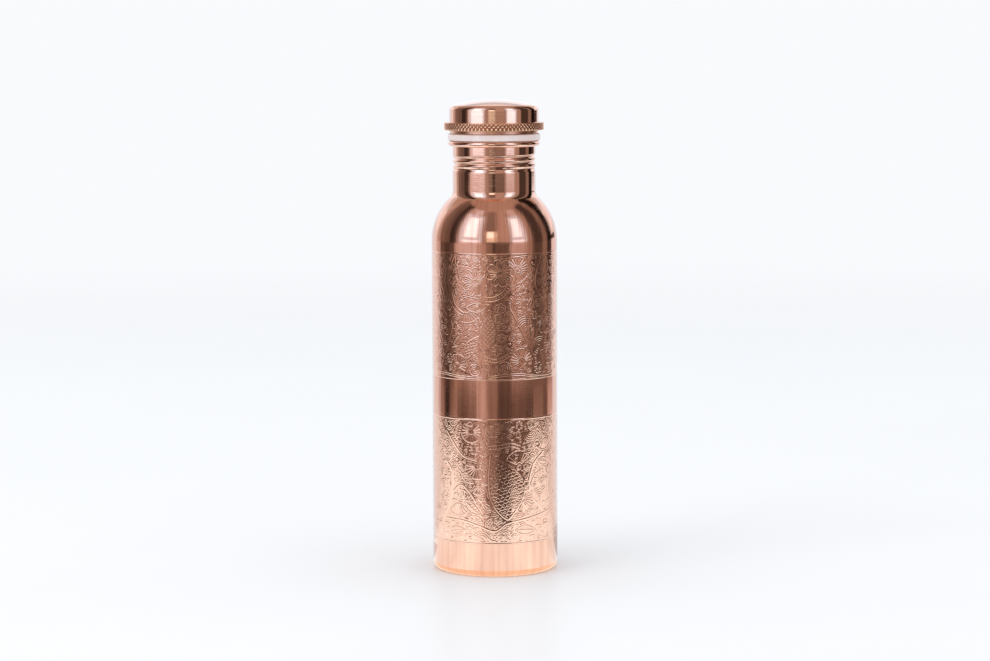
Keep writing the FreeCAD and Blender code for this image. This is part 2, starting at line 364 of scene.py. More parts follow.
class Relief:
    """A height field over the unrolled wall: u is the way round in millimetres from the front, v is
    the height above the band's lower edge. 0 is the ground and 1 the top of a line."""

    def __init__(self, around, height, cell):
        self.around, self.height = around, height
        self.columns = int(round(around / cell))
        self.rows = int(round(height / cell)) + 1
        self.cell_u, self.cell_v = around / self.columns, height / (self.rows - 1)
        self.field = np.zeros((self.rows, self.columns), np.float32)

    def window(self, low, high):
        """The part of the field between two corners: its index, and its u and v."""
        columns = np.arange(math.floor(low[0] / self.cell_u), math.ceil(high[0] / self.cell_u) + 1)
        first = max(0, math.floor(low[1] / self.cell_v))
        rows = np.arange(first, min(self.rows - 1, math.ceil(high[1] / self.cell_v)) + 1)
        place = np.ix_(rows, columns % self.columns)
        return place, (columns * self.cell_u)[None, :], (rows * self.cell_v)[:, None]

    def line(self, points, width=0.75, top=1.0):
        """Raises a rounded line along the points, with a narrow groove on each side of it."""
        half = width / 2
        reach = half * MOAT_REACH
        points = np.asarray(points, float)
        for start, end in zip(points[:-1], points[1:]):
            place, u, v = self.window(np.minimum(start, end) - reach, np.maximum(start, end) + reach)
            u, v = u - start[0], v - start[1]
            along = end - start
            share = np.clip((u * along[0] + v * along[1]) / max(along @ along, 1e-9), 0, 1)
            gap = ((u - share * along[0]) ** 2 + (v - share * along[1]) ** 2) / half ** 2
            under = self.field[place]
            groove = (gap > 1) & (gap < MOAT_REACH ** 2) & (under < 0.05)
            under = np.where(groove, -MOAT_DEPTH, under)
            self.field[place] = np.maximum(under, top * np.clip(1 - gap, 0, 1))

    def circle(self, centre, radius):
        """The window round a circle, and each of its points' distance from the centre."""
        place, u, v = self.window(np.subtract(centre, radius), np.add(centre, radius))
        return place, np.hypot(u - centre[0], v - centre[1])

    def disc(self, centre, radius, level):
        """Sets a soft-edged disc to a level."""
        place, distance = self.circle(centre, radius)
        share = np.clip((radius - distance) / 0.25, 0, 1)
        self.field[place] = self.field[place] * (1 - share) + level * share

    def empty(self, centre, radius):
        """Whether nothing has been drawn yet inside a circle."""
        place, distance = self.circle(centre, radius)
        return self.field[place][distance < radius].max() < 0.2

    def inside(self, loop):
        """The window round a closed outline, and which of its points are inside."""
        place, u, v = self.window(loop.min(axis=0), loop.max(axis=0))
        inside = np.zeros(np.broadcast(u, v).shape, bool)
        for (u0, v0), (u1, v1) in zip(loop, np.roll(loop, -1, axis=0)):
            crosses = (v0 > v) != (v1 > v)
            edge = (u1 - u0) * (v - v0) / ((v1 - v0) or 1e-9) + u0
            inside ^= crosses & (u < edge)
        return place, inside

    def blank(self, loop):
        """Clears the inside of a closed outline, so that what is drawn next lies on top."""
        place, inside = self.inside(loop)
        self.field[place] = np.where(inside, 0, self.field[place])

    def shape(self, loop, width):
        """A closed line with nothing in it yet."""
        self.blank(loop)
        self.line(closed(loop), width)

    def arc(self, centre, radius, first=0, last=360, width=0.6, top=1.0, count=None):
        self.line(arc_points(centre, radius, first, last, count), width, top)


def curve(*controls, count=24):
    """A smooth curve through its controls (Catmull-Rom)."""
    controls = np.asarray(controls, float)
    padded = np.vstack([2 * controls[0] - controls[1], controls, 2 * controls[-1] - controls[-2]])
    points = []
    for a, b, c, d in zip(padded, padded[1:], padded[2:], padded[3:]):
        for t in np.linspace(0, 1, count, endpoint=False):
            points.append(0.5 * (2 * b + (c - a) * t + (2 * a - 5 * b + 4 * c - d) * t ** 2
                                 + (3 * b - a - 3 * c + d) * t ** 3))
    points.append(controls[-1])
    return np.array(points)


def arc_points(centre, radius, first, last, count=None):
    """Points of an arc, with its ends in degrees."""
    count = count or max(6, int(abs(last - first) / 360 * TURN * radius / 0.5))
    angles = np.radians(np.linspace(first, last, count + 1))
    return np.array([centre[0] + radius * np.cos(angles), centre[1] + radius * np.sin(angles)]).T


def leaf_outline(ends, width, lean=0.0, count=30):
    """Spine and outline of a pointed leaf. lean bends its middle to the left of its way."""
    base, tip = ends
    along = tip - base
    across = np.array([-along[1], along[0]]) / np.hypot(*along)
    t = np.linspace(0, 1, count + 1)[:, None]
    spine = base + along * t + across * lean * np.sin(math.pi * t)
    swell = width / 2 * np.sin(math.pi * t ** 0.85)
    return spine, np.vstack([spine + across * swell, (spine - across * swell)[::-1]])


def direction(angle):
    return np.array([math.cos(angle), math.sin(angle)])


def petal_outline(centre, angle, start, length, width):
    """A round-ended petal that points away from the centre at an angle in radians."""
    t = np.linspace(0, 1, 27)[:, None]
    out = start + length * (1 - np.cos(math.pi * t)) / 2
    side = width / 2 * np.sin(math.pi * t) ** 0.75 * (0.55 + 0.45 * t)
    middle, across = centre + out * direction(angle), side * direction(angle + math.pi / 2)
    return np.vstack([middle + across, (middle - across)[::-1]])


def closed(points):
    return np.vstack([points, points[:1]])


def daisy(relief, centre, radius, petals=8, turned=0.0):
    """Flower with a ring in the middle, outlined petals and two rays in each petal."""
    step = TURN / petals
    for angle in turned + np.arange(petals) * step:
        loop = petal_outline(centre, angle, radius * 0.24, radius * 0.76, radius * step * 0.84)
        relief.shape(loop, 0.6)
        for part in (-0.17, 0.17):
            way = radius * direction(angle + part * step)
            relief.line([centre + way * 0.32, centre + way * 0.74], 0.5)
    relief.disc(centre, radius * 0.20, 0.0)
    relief.arc(centre, radius * 0.17, width=0.55)


def rosette(relief, centre, radius, petals=6, turned=0.0):
    """Small flower of plain round petals about a raised eye."""
    step = TURN / petals
    for angle in turned + np.arange(petals) * step:
        loop = petal_outline(centre, angle, radius * 0.2, radius * 0.8, radius * step * 0.85)
        relief.shape(loop, 0.55)
        way = radius * direction(angle)
        relief.line([centre + way * 0.3, centre + way * 0.65], 0.42)
    relief.disc(centre, radius * 0.17, 0.9)


def fan(relief, centre, inner, outer, first, last):
    """Part of a sunburst: rays between two rims, from one angle to another in degrees."""
    relief.blank(np.vstack([arc_points(centre, outer + 0.5, first, last),
                            arc_points(centre, max(inner - 0.4, 0.05), last, first)]))
    for radius in (outer, inner):
        relief.arc(centre, radius, first, last)
    rays = max(4, int(math.radians(abs(last - first)) * (0.45 * inner + 0.55 * outer) / RAY_PITCH) + 1)
    for angle in np.radians(np.linspace(first, last, rays)):
        relief.line([centre + direction(angle) * inner, centre + direction(angle) * outer], 0.52)


def rainbow(relief, centre, radius, first, last, rings, gap=1.25):
    """Nested arcs, like a shell."""
    relief.blank(np.vstack([[centre], arc_points(centre, radius + 0.4, first, last)]))
    for k in range(rings):
        relief.arc(centre, radius - gap * k, first, last, 0.58)


def scales(relief, loop, size, turned):
    """Rows of small overlapping scales inside an outline."""
    low, high = loop.min(axis=0), loop.max(axis=0)
    kept = relief.field.copy()
    centre = (low + high) / 2
    extent = np.hypot(*(high - low)) / 2 + size
    row_gap = size * 0.62
    facing = math.degrees(turned)
    relief.blank(loop)
    random = np.random.default_rng(int(size * 100))
    rows = int(extent / row_gap) + 1
    columns = int(extent / size) + 1
    for row in range(-rows, rows + 1):
        for column in range(-columns, columns + 1):
            x = (column + (row % 2) * 0.5) * size + random.uniform(-0.12, 0.12) * size
            y = row * row_gap + random.uniform(-0.10, 0.10) * size
            place = centre + x * direction(turned) + y * direction(turned + math.pi / 2)
            if np.all(place > low - size) and np.all(place < high + size):
                relief.arc(place, size * 0.5, facing + 180, facing + 360, 0.5, 0.9, 8)
    place, inside = relief.inside(loop)
    kept[place] = np.where(inside, relief.field[place], kept[place])
    relief.field = kept


def paisley(relief, ends, width, lean, size=2.1):
    """Leaf filled with scales."""
    _, loop = leaf_outline(ends, width, lean)
    scales(relief, loop, size, math.atan2(*(ends[1] - ends[0])[::-1]) - math.pi / 2)
    relief.line(closed(loop), 0.8)


def veined_leaf(relief, ends, width, lean=0.0, veins=7):
    """Leaf with a midrib and slanting veins."""
    spine, loop = leaf_outline(ends, width, lean)
    relief.shape(loop, 0.6)
    relief.line(spine, 0.5)
    half = len(loop) // 2
    for k in range(1, veins + 1):
        at = int(k / (veins + 1.5) * half)
        out = min(at + max(2, half // 9), half - 1)
        for edge in (loop, loop[::-1]):
            relief.line([spine[at], edge[out]], 0.38, 0.85)


def medallion(relief, centre, radius, turned=0.0):
    """Ring with a spiral in it."""
    relief.disc(centre, radius + 0.4, 0.0)
    relief.arc(centre, radius, width=0.7)
    angles = np.linspace(0, 2.2 * TURN, 60)
    reach = radius * (0.10 + 0.68 * angles / angles[-1])
    relief.line([centre + out * direction(angle + turned) for out, angle in zip(reach, angles)], 0.5)


def eye(relief, ends, width, lean=0.0):
    """Pointed oval with a round boss in it."""
    spine, loop = leaf_outline(ends, width, lean)
    relief.shape(loop, 0.7)
    middle = spine[len(spine) // 2]
    relief.disc(middle, width * 0.24, 0.8)
    relief.arc(middle, width * 0.36, width=0.45)


def bosses(relief, centres, hollow, boss):
    """Round bosses, each in a shallow hollow."""
    for centre in centres:
        relief.disc(centre, hollow, -0.4)
        relief.disc(centre, boss, 0.85)


def beaded(relief, controls, gap):
    """Two lines side by side with a row of beads between them."""
    points = curve(*controls)
    way = np.gradient(points, axis=0)
    across = gap * np.stack([-way[:, 1], way[:, 0]], axis=1) / np.hypot(way[:, 0], way[:, 1])[:, None]
    relief.blank(np.vstack([points + across, (points - across)[::-1]]))
    relief.line(points + across, 0.55)
    relief.line(points - across, 0.55)
    length = np.concatenate([[0], np.cumsum(np.hypot(*np.diff(points, axis=0).T))])
    for place in np.arange(0.7, length[-1], 1.8):
        relief.disc([np.interp(place, length, points[:, axis]) for axis in (0, 1)], 0.5, 0.9)


def stem(relief, controls, width=1.0, twigs=0, side=1, reach=3.0):
    """Thick stem with small curled twigs on one side."""
    points = curve(*controls)
    relief.line(points, width)
    for k in range(twigs):
        at = int((k + 0.7) / (twigs + 0.4) * (len(points) - 2))
        start, way = points[at], points[at + 1] - points[at]
        way = way / np.hypot(*way) * reach
        across = np.array([-way[1], way[0]]) * side
        tip = start + way * 0.6 + across * 0.8
        relief.line(curve(start, start + way * 0.5 + across * 0.2, tip, count=6), 0.5)
        relief.disc(tip, 0.5, 0.9)


def seed_leaf(relief, ends, width):
    """Plain small leaf with a faint midrib."""
    middle, half = (ends[0] + ends[1]) / 2, (ends[1] - ends[0]) / 2
    relief.line(closed(leaf_outline(ends, width, count=10)[1]), 0.42, 0.8)
    relief.line([middle - half * 0.6, middle + half * 0.5], 0.36, 0.6)


def beaded_arc(relief, centre, radius, bead, *arc):
    """Bead in a ring or an open curl."""
    relief.arc(centre, radius, *arc)
    relief.disc(centre, bead, 0.8)


def small_motif(relief, centre, radius, angle, choice):
    """A flower, fan, leaf or curl that fits a circle. choice, 0 to 1, picks between them."""
    way = radius * direction(angle)
    ends = centre - way, centre + way
    turned = math.degrees(angle)
    if radius > 3.2:
        kinds = ((0.40, daisy, centre, radius, 8, angle),
                 (0.65, fan, centre - way * 0.6, radius * 0.3, radius * 1.45, turned - 62, turned + 62),
                 (0.85, rosette, centre, radius, 7, angle),
                 (1.00, medallion, centre, radius, angle))
    elif radius > 1.7:
        kinds = ((0.35, rosette, centre, radius, 6, angle),
                 (0.60, fan, centre - way * 0.7, radius * 0.35, radius * 1.5, turned - 50, turned + 50),
                 (0.80, rainbow, centre - way * 0.7, radius * 1.5, turned - 55, turned + 55, 3, 1.1),
                 (1.00, veined_leaf, ends, radius * 0.95, 0.0, 4))
    else:
        kinds = ((0.35, seed_leaf, ends, radius * 0.95),
                 (0.65, beaded_arc, centre, radius * 0.75, radius * 0.28, 0, 360, 0.42, 0.8, 14),
                 (1.00, beaded_arc, centre, radius * 0.8, radius * 0.3, turned, turned + 230, 0.45, 0.8, 10))
    for share, motif, *sizes in kinds:
        if choice < share:
            return motif(relief, *sizes)


def fill_gaps(relief, seed):
    """Fills what the large motifs leave empty with smaller ones, the largest first."""
    random = np.random.default_rng(seed)
    for radius, tries in ((4.6, 500), (3.4, 1000), (2.5, 2200), (1.85, 3500), (1.3, 4000)):
        for _ in range(tries):
            place = random.uniform((0, radius), (relief.around, relief.height - radius))
            angle, choice = random.uniform(0, TURN), random.random()
            if relief.empty(place, radius):
                small_motif(relief, place, radius * 0.94, angle, choice)


# The motifs of one half of the way round, in the order they are laid over each other. A row has a
# kind and, for each motif, its place (a point, two ends or a path's controls), sizes and angles.
UPPER_MOTIFS = (
    (stem, (((-25, 73), (-30.5, 59), (-27, 50), (-24, 43), (-15, 38), (-3, 41)), 0.9),
        (((-27, 73), (-33, 58), (-29, 47), (-24.5, 40.5), (-15.5, 36.2)), 0.7),
        (((-35, 41), (-27.5, 33), (-30, 22), (-37, 5)), 1.1, 4, 1),
        (((-44, 72), (-40, 56), (-46, 42), (-42, 24), (-50, 8)), 1, 6, -1),
        (((9, 42), (17, 27), (22, 16), (24, 2)), 0.9, 3, -1),
        (((30, 73), (26, 56), (33, 42), (27, 26), (34, 6)), 1.1, 5, 1),
        (((56, 72), (50, 55), (55, 36), (50, 18), (56, 2)), 0.9, 5, 1)),
    (fan, ((13.5, 64.5), 2.2, 7.4, -75, 200)),
    (rosette, ((13.5, 64.5), 1.9, 5)),
    (fan, ((-17, 43), 3.6, 9.6, -112, -8), ((16.3, 11), 2, 7.4, 10, 205),
        ((-23.5, 8.5), 1.8, 6.6, -30, 120), ((41, 20), 2.4, 8.2, 30, 215),
        ((-50, 30), 2.4, 7.4, -60, 130)),
    (rainbow, ((18.6, 30.5), 6.6, 15, 165, 4), ((29, 20), 5, 60, 250, 3), ((-51, 52), 6, 80, 270, 4),
        ((44, 66), 6, 190, 350, 4)),
    (paisley, (((-3, 19.5), (-2.6, 39)), 8.4, 0.8), (((-17.5, 12), (-9, 26)), 6, 1.2),
        (((43, 32), (38, 50)), 8, -1.2), (((-38, 60), (-47, 72)), 6, 1)),
    (veined_leaf, (((-34, 44), (-39, 58)), 5, 0.6), (((-20, 27), (-27, 19)), 4.2, 0.5),
        (((24, 48), (20, 40)), 4, 0.5), (((-36, 18), (-43, 30)), 4.6, -0.6),
        (((36, 70), (31.5, 58)), 4.6, 0.6), (((49, 44), (45, 56)), 4.2, 0.5),
        (((6, 33), (9.5, 41)), 3.6, 0.4)),
    (beaded, (((-19, 50.5), (-10, 49), (-3, 47.2), (4, 49.4), (9.4, 55.5)), 1.25),
        (((-8, 14), (0, 11.5), (8, 14.5), (11, 20)), 0.95)),
    (eye, (((-17, 42), (-3, 44.2)), 5.2, -0.6), (((22, 36), (23, 25)), 4, 0.4),
        (((-46, 12), (-55, 18)), 4.6, 0.4)),
    (medallion, ((5.6, 6.8), 4), ((-12, 6), 3.4, 1), ((51, 10), 4.2, 2), ((-31, 66), 3, 0.6)),
    (rosette, ((16.2, 53.6), 3.6, 6, 0.2), ((16.6, 46), 4.3, 7, 0.5), ((-29, 12.5), 2.6, 6),
        ((3.4, 41.8), 3, 6, 0.4), ((-9.4, 33.6), 2.8, 6, 0.1), ((50.5, 63), 4.4, 7), ((-52, 41), 3.6, 6)),
    (daisy, ((-11.6, 57.4), 8.3, 9, 0.15), ((3.4, 62.4), 8, 8, 0.25), ((-48, 61), 6.6, 8),
        ((33, 33), 6.4, 8, 0.3), ((40, 8), 5.4, 8, 0.1)),
    (bosses, (((7, 28.4), (8.6, 21), (-22.5, 68.5), (24, 68), (-36, 33.5), (47, 26)), 1.9, 1.15)),
)
LOWER_MOTIFS = (
    (stem, (((-32, 66), (-29.3, 62.6), (-23.8, 56), (-18.9, 51.6), (-11.2, 49.5)), 1.3, 3, 1),
        (((-38, 52), (-29.4, 45), (-27.2, 38), (-27.5, 29.7), (-30, 22), (-36, 12)), 1.35),
        (((-27.5, 29.7), (-21.3, 34.6), (-15.7, 30.8), (-11.5, 25)), 1.1, 2, -1),
        (((38.3, 57), (31, 52.5), (24.2, 46.7), (21.1, 38), (21, 34), (23.2, 27), (31, 18.6)),
         1.35, 5, -1, 3.6),
        (((21.3, 33.5), (25, 40), (30, 42.5)), 0.9, 2, -1),
        (((-35, 13.8), (-20, 13.6), (-10, 11), (0, 8), (7, 12.4), (19.5, 14.6), (39, 18)), 1.15),
        (((-9, 10.2), (-3.4, 3.3), (1, 1.6)), 0.9, 2, 1),
        (((-54, 70), (-47, 55), (-52, 38), (-45, 22), (-50, 3)), 1.1, 6, 1),
        (((47, 72), (52, 55), (45, 40), (51, 22), (46, 4)), 1.1, 5, -1)),
    (fan, ((-14.3, 66), 1.6, 6.2, 130, 400), ((14.4, 46.5), 1.8, 8.6, 35, 158),
        ((-10.5, 46), 1.8, 7.6, 180, 292), ((16, 26.5), 2, 8, -75, 32),
        ((-23, 24.5), 1.6, 8.2, -140, -32), ((32, 62), 2, 7.6, 130, 330), ((-44, 60), 2, 7.2, -30, 190),
        ((40, 10), 2, 6.8, 0, 175)),
    (rainbow, ((28.5, 26), 6, -20, 130, 4), ((-34, 30), 5.4, 100, 260, 4), ((22, 66), 5.6, 180, 350, 4),
        ((-8, 2.5), 5.2, 20, 165, 3)),
    (paisley, (((7.4, 14.6), (-2.6, 52.5)), 21.5, -4.6, 2.9), (((-40, 22), (-43, 42)), 7.6, 1.2),
        (((38, 26), (40, 44)), 7.4, -1.2), (((-20, 40), (-13, 36)), 4, 0.4, 1.3)),
    (veined_leaf, (((-24, 62), (-20.5, 71.5)), 4.4, 0.5), (((-19, 26), (-8, 17)), 5, -0.6),
        (((28, 48), (36, 46)), 4.6, 0.5), (((12, 8), (26, 7)), 5.2, 0.5),
        (((-34, 56), (-42, 48)), 4.6, 0.5), (((-30, 6), (-18, 8)), 4.6, 0.4),
        (((54, 30), (57, 44)), 4.4, 0.4)),
    (beaded, (((-5, 56.8), (2, 57.4), (9, 58.6), (15, 57)), 0.95)),
    (eye, (((-9, 53), (-1, 55)), 3.6, 0.3), (((26, 10), (34, 4)), 3.8, 0.4)),
    (medallion, ((-31.5, 50.5), 2.8), ((31, 34), 3.6, 0.8), ((-2, 66.5), 3.2, 2), ((-54, 12), 4, 1)),
    (rosette, ((-19.5, 44.6), 3.4, 6, 0.3), ((19.5, 56.5), 3.4, 6, 0.2), ((-38, 6), 3.6, 7),
        ((44, 64), 4.4, 7), ((5, 4.4), 3.2, 6)),
    (daisy, ((5.4, 66.2), 6.9, 8, 0.2), ((38.5, 68), 5.2, 8), ((-53, 50), 6.4, 8, 0.2),
        ((53, 12), 5.6, 8, 0.1)),
    (bosses, (((-24, 49.5), (-16.5, 58), (12.5, 51.5), (27, 58.5), (-33, 38.5), (33.5, 12)), 1.7, 1)),
)


def soft_lumps(relief, seed, lump):
    """Smooth random values over the field, with a spread of about 1."""
    lumps = np.random.default_rng(seed).standard_normal(relief.field.shape).astype(np.float32)
    reach = int(lump / relief.cell_u / 2)
    for axis in (0, 1, 0, 1):
        lumps = sum(np.roll(lumps, k, axis=axis) for k in range(-reach, reach + 1)) / (2 * reach + 1)
    return lumps / lumps.std()


def gap_to_lines(relief):
    """How far each point of the field is from the nearest line, in millimetres, up to about 10."""
    rows, columns = relief.field.shape
    own_v, own_u = np.indices((rows, columns)).astype(np.float32)
    on_line = relief.field > 0.3
    seed_v, seed_u = np.where(on_line, own_v, 1e6), np.where(on_line, own_u, 1e6)
    best = np.where(on_line, 0.0, 1e12)
    for jump in (32, 16, 8, 4, 2, 1):
        for step_v in (-jump, 0, jump):
            for step_u in (-jump, 0, jump):
                other_v = np.roll(seed_v, (step_v, step_u), axis=(0, 1))
                other_u = np.roll(seed_u, (step_v, step_u), axis=(0, 1))
                across = np.abs(other_u - own_u)
                across = np.minimum(across, np.abs(columns - across))
                gap = (other_v - own_v) ** 2 + across ** 2
                closer = gap < best
                best = np.where(closer, gap, best)
                seed_v, seed_u = np.where(closer, other_v, seed_v), np.where(closer, other_u, seed_u)
    return np.sqrt(best) * relief.cell_u


ECHO_GAP, ECHO_LOW, ECHO_HIGH = 1.15, -0.30, 0.45
GROUND_LUMP, GROUND_ROUGHNESS = 1.3, 0.07


def echo_lines(relief, seed):
    """Fills the open ground with fine lines that follow the outlines, broken here and there."""
    distance = gap_to_lines(relief) + 0.16 * soft_lumps(relief, seed + 1, 2.0)
    wave = 0.5 - 0.5 * np.cos(TURN * (distance - 0.35) / ECHO_GAP)
    broken = smooth_step(0.5 + 0.9 * (soft_lumps(relief, seed + 2, 0.9) + 0.9))
    open_ground = smooth_step((distance - 0.45) / 0.3) * (np.abs(relief.field) < 0.05)
    relief.field += open_ground * (ECHO_LOW * (1 - wave) + ECHO_HIGH * wave * broken)


def band_borders(relief, waves):
    """Straight lines along both edges and, if there are waves, a wavy double line above the lower."""
    around = np.linspace(-1.0, relief.around + 1.0, 700)

    def level(height):
        return np.stack([around, height + 0 * around], axis=1)

    relief.line(level(relief.height - 0.55), 0.8)
    relief.line(level(0.5), 0.7)
    if waves:
        wave = 2.3 + 0.9 * np.sin(around / relief.around * TURN * waves)
        relief.blank(np.vstack([level(wave + 0.9), level(wave - 0.9)[::-1]]))
        relief.line(level(wave + 0.55), 0.6)
        relief.line(level(wave - 0.55), 0.6)


def draw_motifs(relief, motifs):
    """Draws the motifs on each half of the way round."""
    for shift in (0.0, relief.around / 2):
        for motif, *laid in motifs:
            for place, *sizes in laid:
                motif(relief, np.array(place, float) + (shift, 0), *sizes)


def make_band(name, low, motifs, seed, waves):
    """One etched band, as a fine skin on the wall, in sectors that meet edge to edge."""
    relief = Relief(TURN * BODY_R, BAND_HEIGHT, CELL)
    draw_motifs(relief, motifs)
    band_borders(relief, waves)
    fill_gaps(relief, seed)
    echo_lines(relief, seed)
    relief.field += GROUND_ROUGHNESS * soft_lumps(relief, seed, GROUND_LUMP)
    radius = BODY_R - GROUND_SUNK + (GROUND_SUNK + LINE_PROUD) * ETCH_STRENGTH * relief.field
    radius[0] = radius[-1] = BODY_R - 0.02
    # One more row at each edge turns the skin into the wall.
    turned_in = np.full((1, relief.columns), BODY_R - 0.4)
    radius = np.vstack([turned_in, radius, turned_in])
    field = np.pad(relief.field, ((1, 1), (0, 0)), mode="edge")
    heights = low + np.pad(np.arange(relief.rows) * relief.cell_v, 1, mode="edge")[:, None]
    edges = np.linspace(0, relief.columns, SECTORS + 1).astype(int)
    for number, (first, last) in enumerate(zip(edges[:-1], edges[1:])):
        columns = np.arange(first, last + 1)
        angle = -math.pi / 2 + columns * relief.cell_u / BODY_R
        part = radius[:, columns % relief.columns]
        vertices = np.stack([part * np.cos(angle), part * np.sin(angle), heights + 0 * part], axis=-1)
        index = np.arange(part.size).reshape(part.shape)
        quads = np.stack([index[:-1, :-1], index[:-1, 1:], index[1:, 1:], index[1:, :-1]], axis=-1)
        piece = mesh_object(f"{name}_{number + 1}", vertices.reshape(-1, 3) * MM,
                            quads.reshape(-1, 4), etched)
        # The relief height sets where the painted highlight and the painted shade go.
        set_relief(piece, ((field[:, columns % relief.columns] + 0.5) / 1.5).clip(0, 1))
        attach(piece, "bottle")


# ---- the bottle's own pieces

def shoulder_reach(bend):
    """How far out the shoulder's arc of this radius ends at its top."""
    return SHOULDER_AXIS + math.sqrt(bend ** 2 - SHOULDER_RISE ** 2)


def make_shell():
    """Wall, base corner and shoulder, inside and out, with a shallow recess behind each band."""
    corner = BODY_R - BASE_CORNER
    recesses = []
    for low in (LOWER_BAND, UPPER_BAND):
        high = low + BAND_HEIGHT
        recesses += [(BODY_R, low), (BODY_R - 0.3, low + 0.05), (BODY_R - 0.3, high - 0.05), (BODY_R, high)]
    inner_bend = SHOULDER_BEND - SHEET
    points = outline(
        (corner - BASE_FLANGE, 0), (corner, 0), (BODY_R, BASE_CORNER, BASE_CORNER, 1), *recesses,
        (BODY_R, SHOULDER_LOW), (shoulder_reach(SHOULDER_BEND), SHOULDER_TOP, SHOULDER_BEND, 1),
        (shoulder_reach(inner_bend), SHOULDER_TOP), (BODY_R - SHEET, SHOULDER_LOW, inner_bend, -1),
        (BODY_R - SHEET, BASE_CORNER), (corner, SHEET, BASE_CORNER - SHEET, -1),
        (corner - BASE_FLANGE, SHEET))
    piece = spin("shell", points, 360, satin)
    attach(piece, "bottle")
    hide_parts("body_shell")


def make_neck():
    """Flared foot, rolled thread and curled lip."""
    inner = NECK_R - SHEET
    foot_top = SHOULDER_TOP + NECK_FOOT_HEIGHT
    # The foot's edge is dressed flush with the shoulder.
    reach = shoulder_reach(SHOULDER_BEND) - NECK_R
    flare = (reach ** 2 + NECK_FOOT_HEIGHT ** 2) / (2 * reach)
    foot_inner = NECK_R + flare - math.sqrt((flare + SHEET) ** 2 - NECK_FOOT_HEIGHT ** 2)
    curl = LIP_HEIGHT / 2
    curl_low = LIP_TOP - LIP_HEIGHT
    curl_axis = LIP_R - curl
    tip = NECK_R + CURL_GAP
    groove_low, groove_high = THREAD_START - PITCH, THREAD_START + (NECK_TURNS + 1) * PITCH
    points = outline(
        (foot_inner, SHOULDER_TOP), (NECK_R + reach, SHOULDER_TOP), (NECK_R, foot_top, flare, -1),
        (NECK_R, LIP_TOP - SHEET), (curl_axis, LIP_TOP - SHEET),
        (curl_axis + curl - SHEET, LIP_TOP - curl, curl - SHEET, -1),
        (curl_axis, curl_low + SHEET, curl - SHEET, -1), (tip, curl_low + SHEET), (tip, curl_low),
        (curl_axis, curl_low), (LIP_R, LIP_TOP - curl, curl, 1), (curl_axis, LIP_TOP, curl, 1),
        (inner + SHEET / 2, LIP_TOP), (inner, LIP_TOP - SHEET / 2, SHEET / 2, 1), (inner, foot_top),
        (foot_inner, SHOULDER_TOP, flare + SHEET, 1), step=0.2)
    points = refine(points[:-1], 0.2)

    def roll(angle, r, z):
        on_wall = (r < NECK_R + 0.1) & (z > groove_low) & (z < groove_high)
        thread = ROLL_DEPTH * helix_ridge(angle, z, THREAD_START, NECK_TURNS, RIDGE_HALF_WIDTH, 0.22)
        extra = EXTRA_ROLL_DEPTH * bump(z, THREAD_START - EXTRA_ROLL_DROP, 2 * EXTRA_ROLL_DROP)
        return r - (thread + extra) * on_wall, z

    piece = spin("neck", points, 360, mirror, roll, sharp_angle=50)
    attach(piece, "bottle")
    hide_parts("neck_ring")


def make_disc():
    """Pressed bottom with its S-shaped step."""
    step_out = DISC_R - 4.3
    run, rise = 4.0, DISC_TOP - DISC_LOW - SHEET
    bend = (run ** 2 + rise ** 2) / (4 * rise)
    points = outline(
        (0, DISC_TOP - SHEET), (step_out - run, DISC_TOP - SHEET),
        (step_out - run / 2, DISC_LOW + rise / 2, bend, -1), (step_out, DISC_LOW, bend, 1),
        (DISC_R, DISC_LOW), (DISC_R, DISC_LOW + SHEET), (step_out, DISC_LOW + SHEET),
        (step_out - run / 2, DISC_LOW + SHEET + rise / 2, bend, -1), (step_out - run, DISC_TOP, bend, 1),
        (0, DISC_TOP))
    piece = spin("bottom", points, 240, plain)
    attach(piece, "bottle")
    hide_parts("base_disc")


def rounded_ring(bore, reach, low, high, edge, step):
    """Outline of a ring with rounded outer edges."""
    return outline((bore, low), (reach - edge, low), (reach, low + edge, edge, 1),
                   (reach, high - edge), (reach - edge, high, edge, 1), (bore, high), step=step)


def make_seal():
    """Soft ring with rounded edges, squeezed a little unevenly."""
    points = refine(rounded_ring(PLUG_R + 0.3, SEAL_R, LIP_TOP, SEAL_TOP, 0.7, 0.15), 0.4)

    def squeeze(angle, r, z):
        sway = 0.09 * np.sin(2 * angle + 0.8) + 0.063 * np.sin(5 * angle + 2.0)
        outer = smooth_step((r - (SEAL_R - 2)) / 2)
        return r + (sway - 0.12) * outer, z

    piece = spin("seal", points, 240, silicone, squeeze)
    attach(piece, "seal")
    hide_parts("seal_ring")


